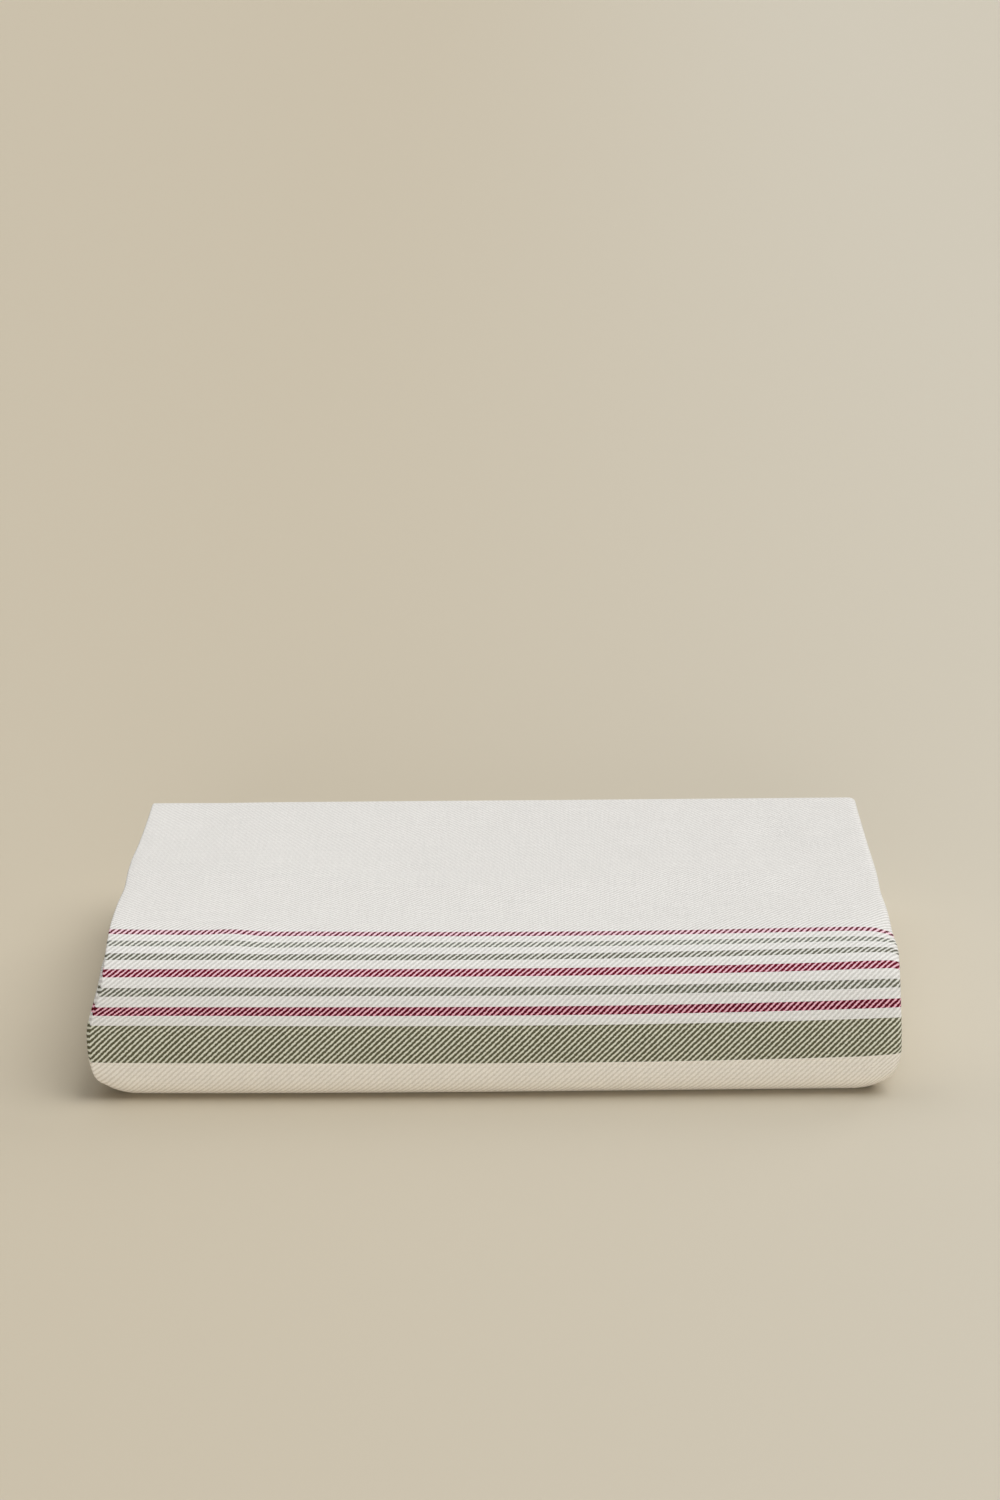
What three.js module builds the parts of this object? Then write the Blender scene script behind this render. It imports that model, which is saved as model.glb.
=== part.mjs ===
// A striped twill tablecloth, folded into a thick soft pad that lies on a table.
// The cloth is one closed solid. Its two long edges meet at its middle line, it is then folded
// in half along that line into a strip of four plies, and the strip is folded back and forth.
// The outermost layer comes forward over the top, rounds the front and runs back underneath.
// Millimetres, +X to the right, +Y to the back, +Z up. The origin is the middle of the underside.
import * as THREE from 'three';

// Driving sizes
const CLOTH_WIDTH = 1500;
const CLOTH_LENGTH = 2500;
const CLOTH_THICKNESS = 1.0;
const PLIES = 4;
const PLY_PITCH = 1.5;
const PAD_WIDTH = CLOTH_WIDTH / PLIES;
const PAD_DEPTH = 241;
const PAD_HEIGHT = 67;

// Heights of the four plies in the strip, from the outermost to the innermost
const PLY_HEIGHTS = [1.5, 0.5, -0.5, -1.5].map((share) => share * PLY_PITCH);

// The fold at the right goes round all four plies, and the free long edges stop short of it
const RIGHT_FOLD_REACH = 4;
const FREE_EDGE_GAP = 13;

// The front before it settles, as the outer face of the outermost layer: how far along that face,
// in millimetres from the start of the shoulder, it slopes down by how many degrees
const FRONT_SLOPE = [
  { along: 0, slope: 0 },
  { along: 5, slope: 4 },
  { along: 13, slope: 30 },
  { along: 22, slope: 55 },
  { along: 32, slope: 66 },
  { along: 52, slope: 79 },
  { along: 70, slope: 90 },
  { along: 76, slope: 120 },
  { along: 82, slope: 150 },
  { along: 88, slope: 180 },
];

// The layers between the underside and the top, from the inner end of the cloth upwards: how far
// the fold at the layer's far end stays back from its limit, and how far the layer lies sideways
const INNER_LAYERS = [
  { foldInset: 1.6, aside: 0.6 },
  { foldInset: 2.0, aside: -0.8 },
  { foldInset: 3.4, aside: 0.4 },
  { foldInset: 0.8, aside: 1.0 },
  { foldInset: 1.2, aside: -0.4 },
  { foldInset: 2.6, aside: -1.0 },
  { foldInset: 2.8, aside: 0.2 },
  { foldInset: 1.0, aside: 0.7 },
  { foldInset: 0.0, aside: 0.3 },
];
const OUTER_END_INSET = 5;

// How the pad has settled, in millimetres. Each "from" and "until" is a share of the pad's height
// for the insets, of its half width for where the right drop starts, and else of its depth.
const LEFT_INSET = { front: 6.1, back: 4.4, from: 0.5 };
const RIGHT_INSET = { front: 0.1, back: 4.9, from: 0.5 };
const RIGHT_TUCK = 2.1;
const FRONT_BULGE = { middle: 1.4, moreRight: -0.95, until: 0.6 };
const FRONT_SQUEEZE = { share: 0.115, from: 0.02, until: 0.22 };
const TOP_SAG = { drop: 2.3, from: 0.2, until: 0.9 };
const TOP_TILT = { drop: 1.4, from: 0.05, full: 0.23, until: 0.4 };
const BACK_DROP = { drop: 7, from: 0.2 };
const RIGHT_DROP = { drop: 1.6, from: 0.88, until: 0.6 };
const CORNERS = { leftRadius: 20, rightRadius: 24, from: 0.12, until: 0.45, shareBehind: 0.3 };
const LAYER_WAVE = { height: 0.6, turnAcross: 2.6, turnBack: 6, turnUp: 3 };

// Brings the middle of the settled pad back over the origin
const CENTRING = { x: 0.94, y: 0.77 };

// Steps of the mesh, the same in all layers and plies, so that they bend alike
const STATIONS_FROM_FRONT = [36, 58, 150];
const STATIONS_ACROSS = [-165, -56, 56, 165, 173];
const FOLD_STEPS = 4;
const TIGHT_FOLD_STEPS = 2;
const WIDE_FOLD_STEPS = 4;
const REACH_STEP = 0.1;

// Worked out from the sizes above
const LAYERS = INNER_LAYERS.length + 2;
const HALF_STRIP = (CLOTH_THICKNESS + (PLIES - 1) * PLY_PITCH) / 2;
const LAYER_PITCH = (PAD_HEIGHT - 2 * HALF_STRIP) / (LAYERS - 1);
const LAYER_GAP = LAYER_PITCH - 2 * HALF_STRIP;
const FOLD_RADIUS = LAYER_PITCH / 2;
const FRONT_Y = -PAD_DEPTH / 2;
const BACK_Y = PAD_DEPTH / 2;

const radians = THREE.MathUtils.degToRad;
const smooth = THREE.MathUtils.smoothstep;

/** Height of the middle of a layer, 0 being the underside's. */
function layerHeight(layer) {
  return HALF_STRIP + layer * LAYER_PITCH;
}

/** Outward direction of a layer whose direction of travel is at the given angle. */
function outward(angle) {
  return { y: Math.sin(angle), z: -Math.cos(angle) };
}

/**
 * One face of the four-ply strip cut across, as points of sideways place and height, from the free
 * edge on the third ply to the free edge on the second. The face that ends up outermost has side 1.
 */
function stripFace(side) {
  const half = CLOTH_THICKNESS / 2;
  const offset = side * half;
  const [first, second, third, fourth] = PLY_HEIGHTS;
  const leftCentre = -PAD_WIDTH / 2 + half + PLY_PITCH / 2;
  const rightCentre = PAD_WIDTH / 2 - RIGHT_FOLD_REACH;
  const freeEdge = PAD_WIDTH / 2 - half - FREE_EDGE_GAP;
  const toRight = STATIONS_ACROSS;
  const toLeft = [...toRight].reverse();

  const tightFold = (upper, lower) => {
    const radius = PLY_PITCH / 2 + offset;
    return Array.from({ length: TIGHT_FOLD_STEPS + 1 }, (_, step) => {
      const turn = (Math.PI * step) / TIGHT_FOLD_STEPS;
      return [leftCentre - radius * Math.sin(turn), (upper + lower) / 2 + radius * Math.cos(turn)];
    });
  };
  const wideFold = Array.from({ length: WIDE_FOLD_STEPS + 1 }, (_, step) => {
    const turn = (Math.PI * step) / WIDE_FOLD_STEPS;
    const reach = RIGHT_FOLD_REACH - half + offset;
    const rise = first + offset;
    return [rightCentre + reach * Math.sin(turn), -rise * Math.cos(turn)];
  });
  const row = (places, height) => places.map((x) => [x, height]);

  return [
    [freeEdge, third + offset],
    ...row(toLeft, third + offset),
    ...tightFold(third, fourth),
    ...row(toRight, fourth - offset),
    ...wideFold,
    ...row(toLeft, first + offset),
    ...tightFold(first, second),
    ...row(toRight, second - offset),
    [freeEdge, second - offset],
  ];
}

/** The outer face of the front, from the top down to the underside, with its slope at each step. */
function frontCurve() {
  const steps = [{ y: 0, z: 0, slope: 0 }];
  for (let row = 1; row < FRONT_SLOPE.length; row += 1) {
    const before = FRONT_SLOPE[row - 1];
    const after = FRONT_SLOPE[row];
    const middle = radians((before.slope + after.slope) / 2);
    const length = after.along - before.along;
    const last = steps[row - 1];
    steps.push({
      y: last.y - length * Math.cos(middle),
      z: last.z - length * Math.sin(middle),
      slope: radians(after.slope),
    });
  }
  const drop = -steps[steps.length - 1].z;
  const scale = PAD_HEIGHT / drop;
  const foremost = Math.min(...steps.map((step) => step.y)) * scale;
  return steps.map((step) => ({
    y: step.y * scale - foremost + FRONT_Y,
    z: step.z * scale + PAD_HEIGHT,
    slope: step.slope,
  }));
}

/** The middle of the strip round the front: its outer face moved in by half the strip. */
function frontMiddle() {
  return frontCurve().map(({ y, z, slope }) => {
    const angle = Math.PI + slope;
    const out = outward(angle);
    return { y: y - HALF_STRIP * out.y, z: z - HALF_STRIP * out.z, angle };
  });
}

/** The foremost place where an inner fold at this height stays clear of the strip round the front. */
function foldReach(front, height) {
  const clear = FOLD_RADIUS + 2 * HALF_STRIP + LAYER_GAP;
  const nearest = (y) => Math.min(
    ...front.slice(1).map((end, index) => {
      const start = front[index];
      const segment = new THREE.Line3(
        new THREE.Vector3(0, start.y, start.z),
        new THREE.Vector3(0, end.y, end.z),
      );
      const centre = new THREE.Vector3(0, y, height);
      return segment.closestPointToPoint(centre, true, new THREE.Vector3()).distanceTo(centre);
    }),
  );
  let y = FRONT_Y + clear;
  while (nearest(y) < clear) {
    y += REACH_STEP;
  }
  return y;
}

/** Steps of a flat stretch of the strip, at its two ends and at the stations between them. */
function flatStretch(from, to, height, angle, aside) {
  const between = STATIONS_FROM_FRONT.map((distance) => FRONT_Y + distance).filter(
    (y) => y > Math.min(from, to) + FOLD_RADIUS && y < Math.max(from, to) - FOLD_RADIUS,
  );
  const inOrder = to > from ? between : between.reverse();
  return [from, ...inOrder, to].map((y) => ({ y, z: height, angle, aside }));
}

/** Steps of an upward fold at the front or at the back, without its two ends. */
function foldStretch(centreY, centreZ, atFront, asideFrom, asideTo) {
  return Array.from({ length: FOLD_STEPS - 1 }, (_, index) => {
    const share = (index + 1) / FOLD_STEPS;
    const angle = atFront ? Math.PI * (1 - share) : Math.PI * share;
    const out = outward(angle);
    const side = atFront ? -1 : 1;
    return {
      y: centreY + side * FOLD_RADIUS * out.y,
      z: centreZ + side * FOLD_RADIUS * out.z,
      angle,
      aside: THREE.MathUtils.lerp(asideFrom, asideTo, share),
    };
  });
}

/** Length of the way through the given steps. */
function wayLength(steps) {
  return steps.slice(1).reduce(
    (length, step, index) => length + Math.hypot(step.y - steps[index].y, step.z - steps[index].z),
    0,
  );
}

/** Each step of the strip's way, from the inner end of the cloth to the end underneath. */
function stripPath() {
  const front = frontMiddle();
  const foldPlaces = INNER_LAYERS.map(({ foldInset }, index) => {
    const layer = index + 1;
    const height = layerHeight(layer + 0.5);
    const atFront = layer % 2 === 0;
    const limit = atFront ? foldReach(front, height) : BACK_Y - FOLD_RADIUS - HALF_STRIP;
    return { y: atFront ? limit + foldInset : limit - foldInset, height, atFront };
  });
  const rest = INNER_LAYERS.flatMap(({ aside }, index) => {
    const { y, height, atFront } = foldPlaces[index];
    const next = INNER_LAYERS[index + 1];
    const bend = foldStretch(y, height, atFront, aside, next ? next.aside : 0);
    if (index === 0) {
      return bend;
    }
    const angle = atFront ? Math.PI : 0;
    const from = foldPlaces[index - 1].y;
    return [...flatStretch(from, y, layerHeight(index + 1), angle, aside), ...bend];
  });
  const lastFold = foldPlaces[foldPlaces.length - 1];
  const foot = front[front.length - 1];
  rest.push(
    ...flatStretch(lastFold.y, front[0].y, layerHeight(LAYERS - 1), Math.PI, 0),
    ...front.slice(1, -1).map(({ y, z, angle }) => ({ y, z, angle, aside: 0 })),
    ...flatStretch(foot.y, BACK_Y - OUTER_END_INSET, layerHeight(0), 2 * Math.PI, 0),
  );

  // The innermost layer takes what is left of the cloth's length
  const firstLength = CLOTH_LENGTH - wayLength(rest);
  const firstFold = foldPlaces[0].y;
  const { aside } = INNER_LAYERS[0];
  return [
    ...flatStretch(firstFold - firstLength, firstFold, layerHeight(1), 0, aside),
    ...rest,
  ];
}

/** Rounds off a lower corner, from a square one to a quarter circle. */
function roundCorner(point, share) {
  const radius = point.x < 0 ? CORNERS.leftRadius : CORNERS.rightRadius;
  const across = (Math.abs(point.x) - (PAD_WIDTH / 2 - radius)) / radius;
  const down = (radius - point.z) / radius;
  if (across <= 0 || down <= 0) {
    return;
  }
  const disc = (other) => 1 - Math.sqrt(1 - Math.min(other, 1) ** 2 / 2);
  point.x -= Math.sign(point.x) * across * disc(down) * radius * share;
  point.z += down * disc(across) * radius * share;
}

/** How far a point of the left or right side lies further in than in the evenly folded pad. */
function sideInset(side, depth, height) {
  const { front, back, from } = side < 0 ? LEFT_INSET : RIGHT_INSET;
  const tuck = side < 0 ? 0 : RIGHT_TUCK;
  return tuck + THREE.MathUtils.lerp(front, back, depth) * smooth(height, from, 1);
}

/** Moves a point of the evenly folded pad to where it lies in the settled one. */
function settle(point) {
  const side = point.x / (PAD_WIDTH / 2);
  const depth = (point.y - FRONT_Y) / PAD_DEPTH;
  const height = point.z / PAD_HEIGHT;
  const fromSides = 1 - side ** 2;

  const { middle, moreRight } = FRONT_BULGE;
  const bulge = (middle + moreRight * side) * fromSides * (1 - smooth(depth, 0, FRONT_BULGE.until));
  const squeeze = FRONT_SQUEEZE.share * (1 - smooth(depth, FRONT_SQUEEZE.from, FRONT_SQUEEZE.until));
  const sag = TOP_SAG.drop * fromSides * (1 - smooth(depth, TOP_SAG.from, TOP_SAG.until));
  const tilt = TOP_TILT.drop * side * smooth(depth, TOP_TILT.from, TOP_TILT.full)
    * (1 - smooth(depth, TOP_TILT.until, 1));
  const backDrop = BACK_DROP.drop * smooth(depth, BACK_DROP.from, 1);
  const rightDrop = RIGHT_DROP.drop * smooth(side, RIGHT_DROP.from, 1)
    * (1 - smooth(depth, 0, RIGHT_DROP.until));
  const turn = LAYER_WAVE.turnAcross * side + LAYER_WAVE.turnBack * depth + LAYER_WAVE.turnUp * height;
  const wave = LAYER_WAVE.height * Math.sin(Math.PI * height) * Math.sin(turn);

  point.x -= side * sideInset(side, depth, height);
  point.y -= bulge;
  point.z += wave - height * (sag + tilt + backDrop + rightDrop) - point.z * squeeze;
  const behind = smooth(depth, CORNERS.from, CORNERS.until);
  roundCorner(point, THREE.MathUtils.lerp(1, CORNERS.shareBehind, behind));
  point.x += CENTRING.x;
  point.y += CENTRING.y;
}

/** The whole cloth as one closed mesh: a ring round the cut strip at each step of its way. */
function clothGeometry() {
  const outerFace = stripFace(1);
  const innerFace = stripFace(-1).reverse();
  const outline = [...outerFace, ...innerFace];
  const path = stripPath();
  const positions = path.flatMap(({ y, z, angle, aside }) => {
    const out = outward(angle);
    return outline.flatMap(([x, height]) => {
      const point = new THREE.Vector3(x + aside, y + height * out.y, z + height * out.z);
      settle(point);
      return point.toArray();
    });
  });

  const count = outline.length;
  const indices = [];
  const triangles = (a, b, c, d) => indices.push(a, b, c, a, c, d);
  const quad = (a, b, c, d) => {
    const across = positions[3 * c] - positions[3 * a];
    const along = positions[3 * c + 1] - positions[3 * a + 1];
    if (across * along > 0) {
      triangles(a, b, c, d);
    } else {
      triangles(b, c, d, a);
    }
  };
  for (let ring = 0; ring + 1 < path.length; ring += 1) {
    for (let index = 0; index < count; index += 1) {
      const next = (index + 1) % count;
      const here = ring * count;
      quad(here + index, here + next, here + count + next, here + count + index);
    }
  }
  const lastRing = (path.length - 1) * count;
  for (let index = 0; index + 1 < outerFace.length; index += 1) {
    const across = count - 1 - index;
    quad(index, across, across - 1, index + 1);
    quad(lastRing + index, lastRing + index + 1, lastRing + across - 1, lastRing + across);
  }

  const geometry = new THREE.BufferGeometry();
  geometry.setAttribute('position', new THREE.Float32BufferAttribute(positions, 3));
  geometry.setIndex(indices);
  geometry.computeVertexNormals();
  return geometry;
}

const clothMaterial = new THREE.MeshStandardMaterial({ color: 0xe6e2da, roughness: 0.9, metalness: 0 });
const cloth = new THREE.Mesh(clothGeometry(), clothMaterial);
cloth.name = 'tablecloth';

const group = new THREE.Group();
group.add(cloth);

export default group;
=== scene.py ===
"""A striped twill tablecloth, folded into a thick soft pad that lies on a pale sweep.

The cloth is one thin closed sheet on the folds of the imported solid: a strip of four plies that goes back
and forth in eleven layers, the outermost one over the top, round the front and back underneath.
Shapes are worked out in millimetres, +X to the right, +Y to the back and +Z up, and then put in metres.
"""

import math

import bpy
import numpy as np
from mathutils import Matrix, Vector


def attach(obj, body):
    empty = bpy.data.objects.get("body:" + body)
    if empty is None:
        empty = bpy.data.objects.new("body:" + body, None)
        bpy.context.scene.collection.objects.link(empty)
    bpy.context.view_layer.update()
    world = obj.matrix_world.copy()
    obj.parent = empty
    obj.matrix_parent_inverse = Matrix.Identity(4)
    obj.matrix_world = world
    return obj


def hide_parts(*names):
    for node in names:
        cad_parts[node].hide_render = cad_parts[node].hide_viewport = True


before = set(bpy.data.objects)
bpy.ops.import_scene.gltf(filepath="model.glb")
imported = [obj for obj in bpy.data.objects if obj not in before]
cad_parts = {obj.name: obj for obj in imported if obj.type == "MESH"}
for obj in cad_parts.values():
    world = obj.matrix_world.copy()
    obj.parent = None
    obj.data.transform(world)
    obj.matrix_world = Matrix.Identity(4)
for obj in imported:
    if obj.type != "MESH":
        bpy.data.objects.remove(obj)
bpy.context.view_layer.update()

MM = 0.001

# Slack in millimetres or radians where places or angles are compared
NEARLY = 0.01

# The cloth as it was cut, and the strip that it is folded into, with the plies' heights in it from the top
CLOTH_WIDTH = 1500
CLOTH_LENGTH = 2500
CLOTH_THICKNESS = 0.7
PLIES = 4
PLY_PITCH = 1.5
PLY_HEIGHTS = [((PLIES - 1) / 2 - number) * PLY_PITCH for number in range(PLIES)]
HALF_STRIP = (CLOTH_THICKNESS + (PLIES - 1) * PLY_PITCH) / 2

# The pad that the strip is folded into
PAD_WIDTH = CLOTH_WIDTH / PLIES
PAD_DEPTH = 241
PAD_HEIGHT = 67
HALF_WIDTH = PAD_WIDTH / 2
FRONT_Y = -PAD_DEPTH / 2
BACK_Y = PAD_DEPTH / 2

# The fold at the right goes round all four plies, and the free long edges stop short of it
RIGHT_FOLD_REACH = 4
FREE_EDGE_GAP = 13

# The front before it settles, as on the solid: along the outer face of the outermost layer, in
# millimetres from the start of the shoulder, it slopes down by so many degrees
FRONT_SLOPE = [
    {"along": 0, "slope": 0},
    {"along": 5, "slope": 4},
    {"along": 13, "slope": 30},
    {"along": 22, "slope": 55},
    {"along": 32, "slope": 66},
    {"along": 52, "slope": 79},
    {"along": 70, "slope": 90},
    {"along": 76, "slope": 120},
    {"along": 82, "slope": 150},
    {"along": 88, "slope": 180},
]
FRONT_SMOOTHING = 6
FRONT_CURVE_STEP = 0.25

# The layers between the underside and the top, from the inner end of the cloth upwards: how far the
# fold at the layer's far end stays back from its limit, and how far the layer lies sideways
INNER_LAYERS = [
    {"fold_inset": 1.6, "aside": 0.6},
    {"fold_inset": 2.0, "aside": -0.8},
    {"fold_inset": 3.4, "aside": 0.4},
    {"fold_inset": 0.8, "aside": 1.0},
    {"fold_inset": 1.2, "aside": -0.4},
    {"fold_inset": 2.6, "aside": -1.0},
    {"fold_inset": 2.8, "aside": 0.2},
    {"fold_inset": 1.0, "aside": 0.7},
    {"fold_inset": 0.0, "aside": 0.3},
]
OUTER_END_INSET = 5
LAYERS = len(INNER_LAYERS) + 2
LAYER_PITCH = (PAD_HEIGHT - 2 * HALF_STRIP) / (LAYERS - 1)
LAYER_GAP = LAYER_PITCH - 2 * HALF_STRIP
FOLD_RADIUS = LAYER_PITCH / 2
FOLD_SEARCH_STEP = 0.1

# How the pad has settled, as on the solid: in millimetres, but for the squeeze, which is a share of the
# height, and the squaring, by which share the corners at the back stay square
LEFT_INSET_FRONT = 6.1
LEFT_INSET_BACK = 4.4
RIGHT_INSET_FRONT = 0.1
RIGHT_INSET_BACK = 4.9
RIGHT_TUCK = 2.1
FRONT_BOW = 1.4
FRONT_SWING = -0.95
FRONT_SQUEEZE = 0.115
TOP_SAG = 2.3
TOP_TILT = 1.4
BACK_DROP = 7.0
RIGHT_DROP = 1.6
CORNER_RADIUS_LEFT = 20
CORNER_RADIUS_RIGHT = 24
CORNER_SQUARING = 0.7
CENTRING_X = 0.94
CENTRING_Y = 0.77

# Between which shares of the depth, from the front, each part of the settling sets in or fades out
DEPTH_FADES = {
    "front": (0, 0.6),
    "squeeze": (0.02, 0.22),
    "tilt sets in": (0.05, 0.23),
    "tilt fades": (0.4, 1),
    "sag": (0.2, 0.9),
    "back drop": (0.2, 1),
    "round corners": (0.12, 0.45),
    "loose layers": (0.08, 0.3),
    "loose back": (0.6, 1),
}

# From which share of the height or of the half width upwards the others set in
INSET_FROM = 0.5
RISES_FROM = 0.15
RIGHT_DROP_FROM = 0.88
DENTS_FROM = 0.6

# One slow wave through all layers: its height, and how many radians it turns over half the width, the
# depth and the height of the pad
LAYER_WAVE = {"size": 0.6, "side": 2.6, "depth": 6, "height": 3}

# Loose layers: waves through the inside of the pad, its sides and its back, each of this size, and so
# long in each direction
INSIDE_WAVES = [
    {"size": 0.35, "long_x": 150, "long_y": 115, "long_z": 21, "phase": 0.4},
    {"size": 0.22, "long_x": -95, "long_y": 80, "long_z": 13, "phase": 2.1},
]
SIDE_WAVES = [
    {"size": 0.7, "long_y": 120, "long_z": 37, "phase": 0.9},
    {"size": 0.4, "long_y": -61, "long_z": 17, "phase": 3.3},
]
BACK_WAVES = [
    {"size": 0.8, "long_x": 170, "long_z": 41, "phase": 1.7},
    {"size": 0.4, "long_x": -83, "long_z": 19, "phase": 0.2},
]

# Soft rises and troughs of the top: where each lies, how far it reaches along its own line and across
# it, how far that line is turned from left-to-right in degrees, and how high it is
TOP_RISES = [
    {"x": -132, "y": 4, "long": 50, "wide": 32, "turn": -10, "height": 2.4},
    {"x": -68, "y": -8, "long": 42, "wide": 24, "turn": -22, "height": 1.7},
    {"x": 2, "y": -16, "long": 50, "wide": 26, "turn": 0, "height": 2.4},
    {"x": 76, "y": 0, "long": 46, "wide": 27, "turn": 8, "height": 2.2},
    {"x": 130, "y": -8, "long": 32, "wide": 24, "turn": -30, "height": 1.5},
    {"x": 122, "y": -52, "long": 26, "wide": 13, "turn": 0, "height": 0.7},
    {"x": -54, "y": 4, "long": 22, "wide": 7, "turn": 0, "height": -0.9},
    {"x": -158, "y": 88, "long": 24, "wide": 16, "turn": 60, "height": -1.0},
    {"x": -20, "y": 66, "long": 70, "wide": 26, "turn": 12, "height": -1.3},
    {"x": 136, "y": 58, "long": 24, "wide": 10, "turn": 80, "height": -0.9},
    {"x": 146, "y": -24, "long": 20, "wide": 10, "turn": -20, "height": -0.8},
    {"x": -129, "y": -80, "long": 10, "wide": 12, "turn": 0, "height": 1.1},
    {"x": -109, "y": -82, "long": 10, "wide": 12, "turn": 0, "height": -0.5},
    {"x": 187, "y": -72, "long": 6, "wide": 13, "turn": 0, "height": -2.6},
    {"x": 176, "y": -100, "long": 11, "wide": 9, "turn": 0, "height": 0.9},
]

# Dents and bulges of the sides: on which side, where along the pad and at what share of its height,
# how far each reaches both ways, and how far it moves the side outwards
SIDE_DENTS = [
    {"side": -1, "y": -22, "high": 1.0, "long": 17, "tall": 0.3, "out": -1.1},
    {"side": -1, "y": 24, "high": 1.0, "long": 14, "tall": 0.3, "out": 0.3},
    {"side": -1, "y": -112, "high": 0.55, "long": 26, "tall": 0.22, "out": 0.9},
    {"side": 1, "y": -24, "high": 1.0, "long": 15, "tall": 0.3, "out": -0.7},
    {"side": 1, "y": -86, "high": 0.95, "long": 16, "tall": 0.25, "out": 0.8},
]

# The lower two plies' left fold shows a little round the front: how far it stands out, between which
# slopes in degrees, over how many degrees it sets in and fades, and between which shares of the half width
LEFT_PEEK = 1.0
PEEK_FROM = 25
PEEK_UNTIL = 80
PEEK_BLEND = 20
PEEK_SIDE = (0.94, 0.99)

# How the border lies on the pad: it runs a little askew, and the lower two plies are further ahead. It
# sets in between these distances along the cloth.
BORDER_TURN = 0.56
BORDER_SWING = -2.2
LOWER_PLIES_AHEAD = 3.8
SHEAR_REACH = 55
SKEW_SETS_IN = (30, 200)

# Hems: double-turned, on all four edges. The very edge is rounded off to a share of the thickness.
HEM_WIDTH = 12
HEM_THICKNESS = 1.0
HEM_STEP = 0.8
EDGE_ROUNDING = 0.6
EDGE_SHARE = 0.35
SEAM_PLACE = 10.4
SEAM_WIDTH = 0.6
STITCH_PITCH = 3.4
STITCH_GAP = 0.9

# Distances from an edge at which a hem needs points: its rounded edge, its middle and its step
HEM_PLACES = np.array([0, EDGE_ROUNDING / 3, EDGE_ROUNDING, HEM_WIDTH / 2, HEM_WIDTH, HEM_WIDTH + HEM_STEP])

# Steps of the mesh
OUTER_PLY_STEPS = 68
INNER_PLY_STEPS = 16
CLOSER_AT_ENDS = 0.7
TIGHT_FOLD_STEPS = 8
WIDE_FOLD_STEPS = 12
LAYER_FOLD_STEPS = 8
TOP_STEP = 5.6
FRONT_STEP = 2.9
UNDERSIDE_STEP = 10
INNER_LAYER_STEP = 20
LOW_LAYER_STEP = 11
LOW_LAYERS = 3

# The bake map. Shares of its height for a millimetre of each part along the cloth, the share of its width
# for a millimetre between plies, and the least that a step takes.
BAKE_SHARES = {"top": 0.95, "front": 1.3, "underside": 0.6, "inner folds": 0.5, "inside": 0.03}
BAKE_BETWEEN_PLIES = 0.08
BAKE_LEAST = 0.3

# Its blocks from the bottom up: the outer face's, the inner face's, and a narrow strip for each rim
BAKE_MARGIN = 0.004
BAKE_OUTER_FACE = (BAKE_MARGIN, 0.86)
BAKE_INNER_FACE = (0.872, 0.95)
BAKE_RIMS_FROM = 0.96
BAKE_RIM_PITCH = 0.01
BAKE_RIM_WIDTH = 0.005


def smooth(value, low, high):
    """A soft step from 0 at low to 1 at high."""
    share = np.clip((value - low) / (high - low), 0, 1)
    return share * share * (3 - 2 * share)


def layer_height(layer):
    """Height of the middle of a layer, 0 being the underside's."""
    return HALF_STRIP + layer * LAYER_PITCH


def outward(angle):
    """Outward direction of a layer that travels at this angle."""
    return np.sin(angle), -np.cos(angle)


def cloth_thickness(from_edge):
    """Thickness of the cloth at a distance from its nearest edge."""
    hem = HEM_THICKNESS - CLOTH_THICKNESS
    body = CLOTH_THICKNESS + hem * (1 - smooth(from_edge, HEM_WIDTH, HEM_WIDTH + HEM_STEP))
    inside = np.clip(from_edge / EDGE_ROUNDING, 0, 1)
    return body * (EDGE_SHARE + (1 - EDGE_SHARE) * np.sqrt(1 - (1 - inside) ** 2))


def strip_columns():
    """The cloth cut across: place and height in the strip, from the free edge on the third ply to the
    free edge on the second, and the direction that its outer face looks in."""
    half = CLOTH_THICKNESS / 2
    first, second, third, fourth = PLY_HEIGHTS
    left_centre = -HALF_WIDTH + half + PLY_PITCH / 2
    right_centre = HALF_WIDTH - RIGHT_FOLD_REACH
    free_edge = HALF_WIDTH - half - FREE_EDGE_GAP
    hem_end = free_edge - HEM_PLACES[-1]

    def ply(start, end, height, steps, closer_at_ends):
        share = np.linspace(0, 1, steps + 1)[1:-1]
        share = share + closer_at_ends * ((1 - np.cos(np.pi * share)) / 2 - share)
        return np.c_[start + (end - start) * share, np.full_like(share, height)]

    def tight_fold(upper, lower):
        turn = np.linspace(0, np.pi, TIGHT_FOLD_STEPS + 1)
        radius = PLY_PITCH / 2
        return np.c_[left_centre - radius * np.sin(turn), (upper + lower) / 2 + radius * np.cos(turn)]

    def wide_fold():
        turn = np.linspace(0, np.pi, WIDE_FOLD_STEPS + 1)
        return np.c_[right_centre + (RIGHT_FOLD_REACH - half) * np.sin(turn), fourth * np.cos(turn)]

    def hem(height, places):
        return np.c_[free_edge - places, np.full_like(places, height)]

    stretches = [
        hem(third, HEM_PLACES),
        ply(hem_end, left_centre, third, INNER_PLY_STEPS, CLOSER_AT_ENDS),
        tight_fold(third, fourth),
        ply(left_centre, right_centre, fourth, INNER_PLY_STEPS, CLOSER_AT_ENDS),
        wide_fold(),
        ply(right_centre, left_centre, first, OUTER_PLY_STEPS, 0),
        tight_fold(first, second),
        ply(left_centre, hem_end, second, INNER_PLY_STEPS, CLOSER_AT_ENDS),
        hem(second, HEM_PLACES[::-1]),
    ]
    points = np.vstack(stretches)
    along = np.gradient(points, axis=0)
    along /= np.linalg.norm(along, axis=1, keepdims=True)
    normals = np.c_[along[:, 1], -along[:, 0]]
    return points, normals


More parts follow.
